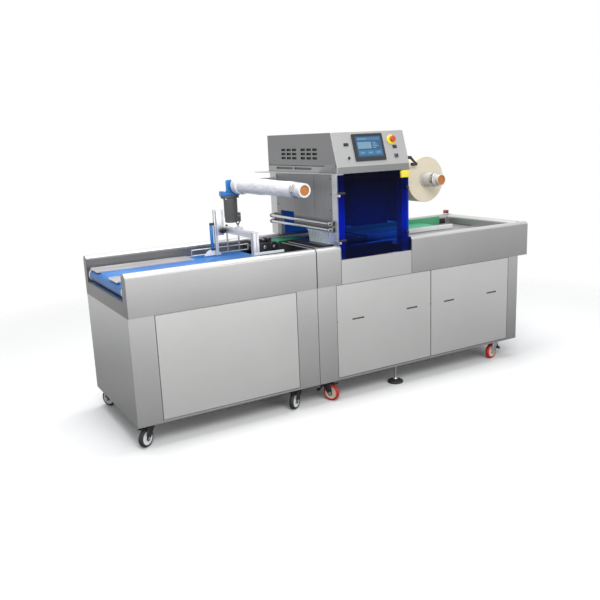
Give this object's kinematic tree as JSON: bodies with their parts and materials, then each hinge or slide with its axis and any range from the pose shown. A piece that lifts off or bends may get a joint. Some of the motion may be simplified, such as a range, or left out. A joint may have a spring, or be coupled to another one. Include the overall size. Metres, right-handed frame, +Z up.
{
  "type": "tray sealer",
  "caption": "Floor-standing inline tray sealer with infeed belt, guarded sealing head, film supply and rewind reels and outfeed trough on casters.",
  "frame": {"origin": "on the floor under the middle of the bounding box", "axes": "+X along the machine from infeed to outfeed, +Y from the operator's side to the rear, +Z up"},
  "size_m": [2.791, 0.932, 1.567],
  "materials": {
    "steel": "brushed stainless sheet",
    "dark_steel": "brushed stainless, shaded deck",
    "hood_paint": "satin grey",
    "chrome": "polished",
    "aluminium": "anodised",
    "die": "anodised dark",
    "blue_acrylic": "tinted clear sheet",
    "blue_belt": "woven conveyor belt",
    "green_belt": "conveyor belt",
    "white_plastic": "machined",
    "grey_cover": "satin",
    "white_film": "wound film",
    "cream_film": "wound film",
    "tray_plastic": "translucent",
    "black_plastic": "moulded",
    "screen": "glass front",
    "yellow": "moulded",
    "red": "moulded",
    "motor_grey": "satin",
    "zinc": "zinc plated",
    "tyre_black": "solid tyre",
    "tyre_red": "polyurethane tyre"
  },
  "bodies": {
    "machine": {"infeed_cabinet": "steel", "infeed_panels": "steel", "infeed_rims": "steel", "infeed_belt": "blue_belt", "conveyor_bed": "white_plastic", "guide_covers": "grey_cover", "front_guide_rail": "white_plastic", "gantry_frame": "aluminium", "tray_guides": "zinc", "transfer_rollers": "black_plastic", "green_belts": "green_belt", "tray_table": "dark_steel", "tray": "tray_plastic", "sealer_cabinet": "steel", "sealer_panels": "steel", "sealer_front_rims": "steel", "sealer_rear_rim": "steel", "outfeed_end_rim": "steel", "centre_front_panel": "steel", "outfeed_deck": "dark_steel", "outfeed_guides": "aluminium", "outfeed_sensor": "red", "head_posts": "steel", "side_walls": "steel", "rear_guard": "blue_acrylic", "hood": "hood_paint", "hood_shelf": "steel", "control_screen": "screen", "stop_plate": "yellow", "panel_buttons": "black_plastic", "upper_die": "die", "guard_hinge_brackets": "zinc", "film_rods": "chrome", "reel_arms": "aluminium", "film_dancer": "black_plastic", "rewind_gearmotor": "motor_grey", "levelling_feet": "zinc", "caster_plates": "zinc"},
    "guard": {"guard_door": "blue_acrylic", "guard_hardware": "black_plastic"},
    "supply_reel": {"supply_reel": "cream_film"},
    "rewind_reel": {"rewind_reel": "white_film"},
    "stop_button": {"stop_button": "red"},
    "lower_die": {"lower_die": "die"},
    "fork_infeed_front_left": {"fork_infeed_front_left": "black_plastic"},
    "wheel_infeed_front_left": {"wheel_infeed_front_left": "tyre_black"},
    "fork_infeed_front_right": {"fork_infeed_front_right": "black_plastic"},
    "wheel_infeed_front_right": {"wheel_infeed_front_right": "tyre_black"},
    "fork_infeed_rear_left": {"fork_infeed_rear_left": "black_plastic"},
    "wheel_infeed_rear_left": {"wheel_infeed_rear_left": "tyre_black"},
    "fork_infeed_rear_right": {"fork_infeed_rear_right": "black_plastic"},
    "wheel_infeed_rear_right": {"wheel_infeed_rear_right": "tyre_black"},
    "fork_sealer_front_left": {"fork_sealer_front_left": "zinc"},
    "wheel_sealer_front_left": {"wheel_sealer_front_left": "tyre_red"},
    "fork_sealer_front_right": {"fork_sealer_front_right": "zinc"},
    "wheel_sealer_front_right": {"wheel_sealer_front_right": "tyre_red"},
    "fork_sealer_rear_left": {"fork_sealer_rear_left": "zinc"},
    "wheel_sealer_rear_left": {"wheel_sealer_rear_left": "tyre_red"},
    "fork_sealer_rear_right": {"fork_sealer_rear_right": "zinc"},
    "wheel_sealer_rear_right": {"wheel_sealer_rear_right": "tyre_red"}
  },
  "joints": [
    {"name": "guard_hinge", "type": "hinge", "parent": "machine", "child": "guard", "pos_m": [-0.1305, -0.422, 0.961], "axis": [0, 0, -1], "range_deg": [0, 105]},
    {"name": "supply_spin", "type": "hinge", "parent": "machine", "child": "supply_reel", "pos_m": [0.5845, 0.284, 1.262], "axis": [0, 1, 0], "continuous": true},
    {"name": "rewind_spin", "type": "hinge", "parent": "machine", "child": "rewind_reel", "pos_m": [-0.3815, 0.354, 1.268], "axis": [0, 1, 0], "continuous": true},
    {"name": "stop_press", "type": "slide", "parent": "machine", "child": "stop_button", "axis": [0, 0.9497, -0.3132], "range_m": [0, 0.005], "stiffness_N_per_m": 400},
    {"name": "die_lift", "type": "slide", "parent": "machine", "child": "lower_die", "axis": [0, 0, 1], "range_m": [0, 0.095]},
    {"name": "swivel_infeed_front_left", "type": "hinge", "parent": "machine", "child": "fork_infeed_front_left", "pos_m": [-1.3205, -0.354, 0.122], "axis": [0, 0, 1], "continuous": true},
    {"name": "roll_infeed_front_left", "type": "hinge", "parent": "fork_infeed_front_left", "child": "wheel_infeed_front_left", "pos_m": [-1.34849, -0.37149, 0.05], "axis": [0.5299, -0.848, 0], "continuous": true},
    {"name": "swivel_infeed_front_right", "type": "hinge", "parent": "machine", "child": "fork_infeed_front_right", "pos_m": [-0.4205, -0.354, 0.122], "axis": [0, 0, 1], "continuous": true},
    {"name": "roll_infeed_front_right", "type": "hinge", "parent": "fork_infeed_front_right", "child": "wheel_infeed_front_right", "pos_m": [-0.44849, -0.37149, 0.05], "axis": [0.5299, -0.848, 0], "continuous": true},
    {"name": "swivel_infeed_rear_left", "type": "hinge", "parent": "machine", "child": "fork_infeed_rear_left", "pos_m": [-1.3205, 0.322, 0.122], "axis": [0, 0, 1], "continuous": true},
    {"name": "roll_infeed_rear_left", "type": "hinge", "parent": "fork_infeed_rear_left", "child": "wheel_infeed_rear_left", "pos_m": [-1.337, 0.35058, 0.05], "axis": [-0.866, -0.5, 0], "continuous": true},
    {"name": "swivel_infeed_rear_right", "type": "hinge", "parent": "machine", "child": "fork_infeed_rear_right", "pos_m": [-0.4205, 0.322, 0.122], "axis": [0, 0, 1], "continuous": true},
    {"name": "roll_infeed_rear_right", "type": "hinge", "parent": "fork_infeed_rear_right", "child": "wheel_infeed_rear_right", "pos_m": [-0.44908, 0.3385, 0.05], "axis": [-0.5, -0.866, 0], "continuous": true},
    {"name": "swivel_sealer_front_left", "type": "hinge", "parent": "machine", "child": "fork_sealer_front_left", "pos_m": [-0.2155, -0.354, 0.122], "axis": [0, 0, 1], "continuous": true},
    {"name": "roll_sealer_front_left", "type": "hinge", "parent": "fork_sealer_front_left", "child": "wheel_sealer_front_left", "pos_m": [-0.199, -0.38258, 0.05], "axis": [0.866, 0.5, 0], "continuous": true},
    {"name": "swivel_sealer_front_right", "type": "hinge", "parent": "machine", "child": "fork_sealer_front_right", "pos_m": [1.1635, -0.354, 0.122], "axis": [0, 0, 1], "continuous": true},
    {"name": "roll_sealer_front_right", "type": "hinge", "parent": "fork_sealer_front_right", "child": "wheel_sealer_front_right", "pos_m": [1.131, -0.35973, 0.05], "axis": [0.1736, -0.9848, 0], "continuous": true},
    {"name": "swivel_sealer_rear_left", "type": "hinge", "parent": "machine", "child": "fork_sealer_rear_left", "pos_m": [-0.2155, 0.322, 0.122], "axis": [0, 0, 1], "continuous": true},
    {"name": "roll_sealer_rear_left", "type": "hinge", "parent": "fork_sealer_rear_left", "child": "wheel_sealer_rear_left", "pos_m": [-0.199, 0.35058, 0.05], "axis": [-0.866, 0.5, 0], "continuous": true},
    {"name": "swivel_sealer_rear_right", "type": "hinge", "parent": "machine", "child": "fork_sealer_rear_right", "pos_m": [1.1635, 0.322, 0.122], "axis": [0, 0, 1], "continuous": true},
    {"name": "roll_sealer_rear_right", "type": "hinge", "parent": "fork_sealer_rear_right", "child": "wheel_sealer_rear_right", "pos_m": [1.13249, 0.33329, 0.05], "axis": [-0.342, -0.9397, 0], "continuous": true}
  ]
}
